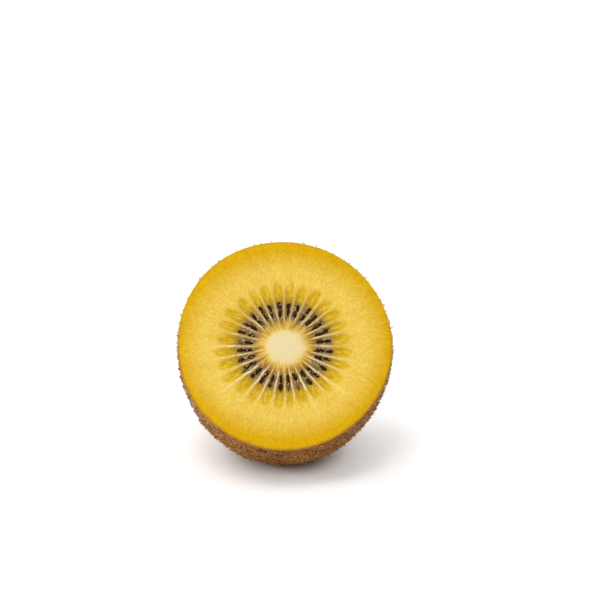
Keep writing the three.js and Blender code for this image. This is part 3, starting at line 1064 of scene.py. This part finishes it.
def make_button(sizes, colours):
    """The woody button: its profile of rings turned about the axis, with crumbs and notches that
    grow towards the edge. Outwards from the fruit is down -Z, so heights count from the floor."""
    floor = stem_floor(sizes)
    profile = np.array(((BUTTON_PROFILE[0][0], BUTTON_ROOT), *BUTTON_PROFILE)) * MM
    steps = np.linspace(0, len(profile) - 1, BUTTON_STEPS)
    radius = np.interp(steps, np.arange(len(profile)), profile[:, 0])
    height = np.interp(steps, np.arange(len(profile)), profile[:, 1])
    angle, step_radius = np.meshgrid(np.arange(BUTTON_COLUMNS) * 2 * np.pi / BUTTON_COLUMNS, radius)
    step_height = np.meshgrid(angle[0], height)[1]
    notch = 1 + 0.05 * np.cos(7 * angle + 1.0) + 0.04 * np.cos(13 * angle)
    wide = step_radius * notch
    points = np.stack([wide * np.cos(angle), wide * np.sin(angle), floor - step_height], axis=-1)
    proud = smooth(step_height, 0.45 * MM, 1.1 * MM)
    crumbs = ripple(points, 0.9 * MM, 31) + 0.6 * ripple(points, 0.4 * MM, 32)
    points[..., 2] -= 0.1 * MM * crumbs * smooth(step_height, -0.5 * MM, 0.3 * MM)
    ends = np.array([[0, 0, floor - BUTTON_ROOT * MM], [0, 0, floor - BUTTON_MIDDLE * MM]])
    local = np.concatenate([ends[:1], points.reshape(-1, 3), ends[1:]])
    faces = swept_faces(BUTTON_STEPS, BUTTON_COLUMNS)
    material = wood_material(colours)
    piece = make_piece("stem_button", stood(sizes, local), *faces, material, "stem_end")
    add_values(piece, "proud", np.concatenate([[0], 0.6 * proud.ravel(), [0.3]]))
    return material


def make_sepals(sizes, material):
    """The dried sepals: each a flat oval section carried along a path that leaves the button, lifts
    off the skin and curls, with the section shrinking as the root of what is left of the length."""
    floor = stem_floor(sizes)
    index = np.arange(SEPALS)[:, None, None]
    length = SEPAL_LENGTH + SEPAL_LENGTH_SPREAD * (draw(index, 60) - 0.5)
    lift = SEPAL_LIFT + SEPAL_LIFT_SPREAD * (draw(index, 61) - 0.5)
    angle = 2 * np.pi * (index + SEPAL_STRAY * (draw(index, 62) - 0.5)) / SEPALS
    steps, sides = SEPAL_GRID
    t = (np.arange(steps) / steps)[None, :, None]
    side = (np.arange(sides) * 2 * np.pi / sides)[None, None, :]
    curl = 0.5 * (draw(index, 63) - 0.3)
    sway = 0.5 * (draw(index, 64) - 0.5) * MM
    left = (1 - t) ** 0.6
    wide = 0.5 * SEPAL_WIDTH * left * (1 + 0.2 * np.cos(9 * t + 6 * draw(index, 65)))
    thick = 0.5 * SEPAL_THICKNESS * left * (0.65 + 0.2 * np.cos(2 * side))
    across = wide * np.cos(side) + sway * t * t
    rise = lift + curl * t
    forward = SEPAL_ROOT + length * t * np.cos(rise) - thick * np.sin(side) * np.sin(rise)
    outward = length * t * np.sin(rise) + thick * np.sin(side) * np.cos(rise)
    forward, outward, across = np.broadcast_arrays(forward, outward, across)

    def turned(ahead, out, beside, about):
        x = -ahead * np.sin(about) + beside * np.cos(about)
        y = ahead * np.cos(about) + beside * np.sin(about)
        return np.stack([x, y, floor - out], axis=-1)

    body = turned(forward, outward, across, angle).reshape(SEPALS, -1, 3)
    end = lift + curl
    foot = turned(SEPAL_ROOT + 0 * length, 0 * length, 0 * length, angle).reshape(SEPALS, 1, 3)
    tip_ahead = SEPAL_ROOT + length * np.cos(end)
    tip = turned(tip_ahead, length * np.sin(end), sway, angle).reshape(SEPALS, 1, 3)
    points = np.concatenate([foot, body, tip], axis=1)
    faces = repeated_faces(*swept_faces(steps, sides), SEPALS, points.shape[1])
    piece = make_piece("sepals", stood(sizes, points.reshape(-1, 3)), *faces, material, "stem_end")
    along = np.broadcast_to(t, (SEPALS, steps, sides)).reshape(SEPALS, -1)
    proud = np.concatenate([np.zeros((SEPALS, 1)), along, np.ones((SEPALS, 1))], axis=1)
    add_values(piece, "proud", 0.2 + 0.6 * proud)


def grid_normals(points):
    """Unit normals of a grid of points that closes round its columns, facing away from the axis."""
    down = np.gradient(points, axis=0)
    around = np.roll(points, -1, axis=1) - np.roll(points, 1, axis=1)
    normal = np.cross(down, around)
    return normal / np.linalg.norm(normal, axis=-1, keepdims=True)


def scattered_roots(surface, normals, count, rng):
    """Random places on the skin, even by area: a quad is picked with a chance that goes with its
    area, and a point in it by two shares of its sides."""
    beside = np.roll(surface, -1, axis=1)
    area = np.linalg.norm(np.cross(surface[1:] - surface[:-1], (beside - surface)[:-1]), axis=-1)
    chances = np.cumsum(area.ravel())
    pick = np.searchsorted(chances, rng.uniform(0, chances[-1], count))
    row, column = np.divmod(pick, surface.shape[1])
    following = (column + 1) % surface.shape[1]
    u, v = rng.uniform(0, 1, (2, count, 1))

    def between(grid):
        top = grid[row, column] * (1 - u) + grid[row, following] * u
        low = grid[row + 1, column] * (1 - u) + grid[row + 1, following] * u
        return top * (1 - v) + low * v

    return between(surface), between(normals)


def fuzz_tufts(sizes, surface, rng):
    """Roots and skin normals of the tufts, clear of the floor and the stem end, with each tuft's
    own way, lean, room between its hairs, size and tone."""
    standing = stood(sizes, surface)
    tufts = int(ROOTS_DRAWN * sizes.hairs / TUFT)
    root, normal = scattered_roots(standing, grid_normals(standing), tufts, rng)
    pole = stood(sizes, np.array([0, 0, stem_floor(sizes)]))
    clear = np.linalg.norm(root - pole, axis=1) > STEM_CLEARANCE
    clear &= root[:, 2] > ROOT_CLEARANCE
    root, normal = root[clear], normal[clear]
    pole_way = -leaned(sizes, np.array([0, 0, -1.0]))
    way = pole_way + TUFT_STRAY * rng.normal(size=(len(root), 3))
    upright = rng.uniform(0, 1, (len(root), 1)) < UPRIGHT_SHARE
    lean, room, size = (np.where(upright, *pair) for pair in zip(UPRIGHT_TUFT, FLAT_TUFT))
    tone = rng.uniform(0, 1, len(root))
    return root, normal, way, lean, room, size, tone


def make_fuzz(sizes, colours, surface):
    """The fuzz: each hair a three-sided spike in two steps that leaves the skin at a slant, mostly
    away from the stem end, and bends over, as root + length * (t * way + t squared * bend)."""
    rng = np.random.default_rng(41)
    tufts = (np.repeat(part, TUFT, axis=0) for part in fuzz_tufts(sizes, surface, rng))
    root, normal, way, lean, room, size, tone = tufts
    count = len(root)
    way = way + HAIR_STRAY * rng.normal(size=(count, 3))
    way -= normal * np.sum(way * normal, axis=1, keepdims=True)
    way /= np.linalg.norm(way, axis=1, keepdims=True)
    root = root + way * room * rng.uniform(0, 1, (count, 1))
    lean = np.radians(lean + rng.uniform(-LEAN_SPREAD, LEAN_SPREAD, (count, 1)))
    first = normal * np.cos(lean) + way * np.sin(lean)
    bend = HAIR_BEND * (way - normal * 0.6) * rng.uniform(0.3, 1.0, (count, 1))
    length = sizes.hair_length * size * rng.uniform(0.6, 1.4, (count, 1))
    side = np.cross(first, normal)
    side /= np.linalg.norm(side, axis=1, keepdims=True) + 1e-12
    other = np.cross(first, side)
    width = 0.5 * sizes.hair_width * size * rng.uniform(0.7, 1.2, (count, 1))
    corners = []
    for t, share in HAIR_STEPS:
        middle = root + length * (t * first + t * abs(t) * bend)
        for k in range(3):
            turn = 2 * np.pi * k / 3
            corners.append(middle + width * share * (side * math.cos(turn) + other * math.sin(turn)))
    corners.append(root + length * (first + bend))
    hairs = np.stack(corners, axis=1)
    free = hairs[:, 1:, 2].min(axis=1) > HAIR_CLEARANCE
    hairs = hairs[free]
    own = np.clip(tone + rng.uniform(-0.2, 0.2, count), 0, 1)[free]
    material = hair_material(colours)
    for name, right in (("fuzz_left", False), ("fuzz_right", True)):
        chosen = np.flatnonzero((hairs[:, 0, 0] > 0) == right)[: sizes.hairs]
        add_hairs(name, hairs[chosen], own[chosen], material)


def add_hairs(name, hairs, own, material):
    """One piece of fuzz from hairs of seven corners: three at the root, three half way, a tip."""
    quads = np.array([[k, (k + 1) % 3, 3 + (k + 1) % 3, 3 + k] for k in range(3)])
    tips = np.array([[3 + k, 3 + (k + 1) % 3, 6] for k in range(3)] + [[2, 1, 0]])
    corners = hairs.shape[1]
    faces = repeated_faces(quads, tips, len(hairs), corners)
    piece = make_piece(name, hairs.reshape(-1, 3), *faces, material, "fuzz")
    add_values(piece, "own", np.repeat(own, corners))
    add_values(piece, "root", np.tile([0.6, 0.6, 0.6, 0.15, 0.15, 0.15, 0], len(hairs)))


def soft_light(name, place, size, power, colour):
    """A square soft light that looks at the middle of the fruit."""
    lamp = bpy.data.lights.new(name, "AREA")
    lamp.size = size
    lamp.energy = power
    lamp.color = colour
    turn = (Vector(LIGHT_AIM) - Vector(place)).to_track_quat("-Z", "Y")
    in_scene(name, lamp).matrix_world = Matrix.Translation(place) @ turn.to_matrix().to_4x4()


def add_floor(stage, colours):
    """A wide floor under the fruit, as a single square."""
    half = stage.floor_size / 2
    corners = [(-half, -half, 0), (half, -half, 0), (half, half, 0), (-half, half, 0)]
    mesh = bpy.data.meshes.new("floor")
    mesh.from_pydata(corners, [], [(0, 1, 2, 3)])
    mesh.materials.append(floor_material(colours))
    floor = in_scene("floor", mesh)


def add_camera(stage, sizes):
    """The camera at the photograph's height over the floor, set off its line to the face so that
    the face falls where the photograph has it."""
    pixel = 2 * sizes.half_width / FACE_WIDTH_SHOWN
    face = Vector(standing_place(sizes))
    back = Vector((0, -math.cos(stage.elevation), math.sin(stage.elevation)))
    up = Vector((0, math.sin(stage.elevation), math.cos(stage.elevation)))
    right = Vector((1, 0, 0))
    middle = PHOTO_WIDTH / 2
    aside = (middle - FACE_CENTRE_SHOWN[0]) * pixel
    over = (FACE_CENTRE_SHOWN[1] - middle) * pixel
    place = face + back * stage.distance + right * aside + up * over
    data = bpy.data.cameras.new("camera")
    data.sensor_width = SENSOR_WIDTH
    data.lens = SENSOR_WIDTH * stage.distance / (PHOTO_WIDTH * pixel)
    data.clip_start = 0.01
    camera = in_scene("camera", data)
    turn = Matrix((right, up, back)).transposed().to_4x4()
    camera.matrix_world = Matrix.Translation(place) @ turn
    bpy.context.scene.camera = camera


def add_world(stage):
    """Pale light from all round, by how high it comes from: white along the horizon, dimmer walls
    above that, and a bright ceiling, like a room with one large soft light overhead."""
    world = bpy.data.worlds.new("studio")
    world.use_nodes = True
    tree = world.node_tree
    way = tree.nodes.new("ShaderNodeTexCoord")
    parts = tree.nodes.new("ShaderNodeSeparateXYZ")
    levels = tree.nodes.new("ShaderNodeValToRGB")
    fill_ramp(levels, [(height, (level, level, level)) for height, level in SKY_LEVELS])
    background = tree.nodes["Background"]
    background.inputs["Strength"].default_value = stage.fill / SKY_LEVELS[0][1]
    tree.links.new(way.outputs["Generated"], parts.inputs["Vector"])
    tree.links.new(parts.outputs["Z"], levels.inputs["Fac"])
    tree.links.new(levels.outputs["Color"], background.inputs["Color"])
    bpy.context.scene.world = world


class KiwiStage(bpy.types.PropertyGroup):
    """Camera, lights and floor"""

    elevation: angle_property("Camera height", "How far up from the horizon the camera is", 22)
    distance: length_property("Camera distance", "From the cut face", 0.7)
    floor_size: length_property("Floor size", "Side of the floor", 12.0)
    fill: bpy.props.FloatProperty(
        name="Fill", description="Strength of the light from all round", default=1.0
    )
    key: bpy.props.FloatProperty(
        name="Key light", description="Power of the main soft light", default=21.5, unit="POWER"
    )
    side: bpy.props.FloatProperty(
        name="Side light", description="Power of the low light at the left", default=6.5, unit="POWER"
    )


class KIWI_OT_flesh(bpy.types.Operator):
    """Make the flesh with its cut face"""

    bl_idname = "kiwi.flesh"
    bl_label = "Flesh"

    def execute(self, context):
        make_flesh(context.scene.kiwi_sizes, context.scene.kiwi_colours)
        return {"FINISHED"}


class KIWI_OT_skin(bpy.types.Operator):
    """Make the skin and the fuzz that grows on it"""

    bl_idname = "kiwi.skin"
    bl_label = "Skin and fuzz"

    def execute(self, context):
        sizes = context.scene.kiwi_sizes
        colours = context.scene.kiwi_colours
        outside = make_skin(sizes, colours)
        make_fuzz(sizes, colours, outside)
        return {"FINISHED"}


class KIWI_OT_seeds(bpy.types.Operator):
    """Make the seeds round the core"""

    bl_idname = "kiwi.seeds"
    bl_label = "Seeds"

    def execute(self, context):
        make_seeds(context.scene.kiwi_sizes, context.scene.kiwi_colours)
        return {"FINISHED"}


class KIWI_OT_stem_end(bpy.types.Operator):
    """Make the woody button and its sepals"""

    bl_idname = "kiwi.stem_end"
    bl_label = "Stem end"

    def execute(self, context):
        sizes = context.scene.kiwi_sizes
        material = make_button(sizes, context.scene.kiwi_colours)
        make_sepals(sizes, material)
        return {"FINISHED"}


class KIWI_OT_stage(bpy.types.Operator):
    """Set the floor, the lights and the camera"""

    bl_idname = "kiwi.stage"
    bl_label = "Stage"

    def execute(self, context):
        stage = context.scene.kiwi_stage
        add_floor(stage, context.scene.kiwi_colours)
        add_world(stage)
        soft_light("key", KEY_PLACE, KEY_SIZE, stage.key, KEY_COLOUR)
        soft_light("side", SIDE_PLACE, SIDE_SIZE, stage.side, SIDE_COLOUR)
        add_camera(stage, context.scene.kiwi_sizes)
        context.scene.view_settings.view_transform = "Standard"
        return {"FINISHED"}


class KIWI_PT_panel(bpy.types.Panel):
    """Steps that build the half fruit"""

    bl_idname = "KIWI_PT_panel"
    bl_label = "Kiwi half"
    bl_space_type = "VIEW_3D"
    bl_region_type = "UI"
    bl_category = "Kiwi half"

    def draw(self, context):
        for operator in OPERATORS:
            self.layout.operator(operator.bl_idname)


GROUPS = {"kiwi_sizes": KiwiSizes, "kiwi_colours": KiwiColours, "kiwi_stage": KiwiStage}
OPERATORS = (KIWI_OT_flesh, KIWI_OT_skin, KIWI_OT_seeds, KIWI_OT_stem_end, KIWI_OT_stage)


def register():
    for cls in (*GROUPS.values(), *OPERATORS, KIWI_PT_panel):
        bpy.utils.register_class(cls)
    for name, group in GROUPS.items():
        setattr(bpy.types.Scene, name, bpy.props.PointerProperty(type=group))


def unregister():
    for name in GROUPS:
        delattr(bpy.types.Scene, name)
    for cls in reversed((*GROUPS.values(), *OPERATORS, KIWI_PT_panel)):
        bpy.utils.unregister_class(cls)


def main():
    register()
    bpy.ops.kiwi.flesh()
    bpy.ops.kiwi.skin()
    bpy.ops.kiwi.seeds()
    bpy.ops.kiwi.stem_end()
    bpy.ops.kiwi.stage()


if __name__ == "__main__":
    main()
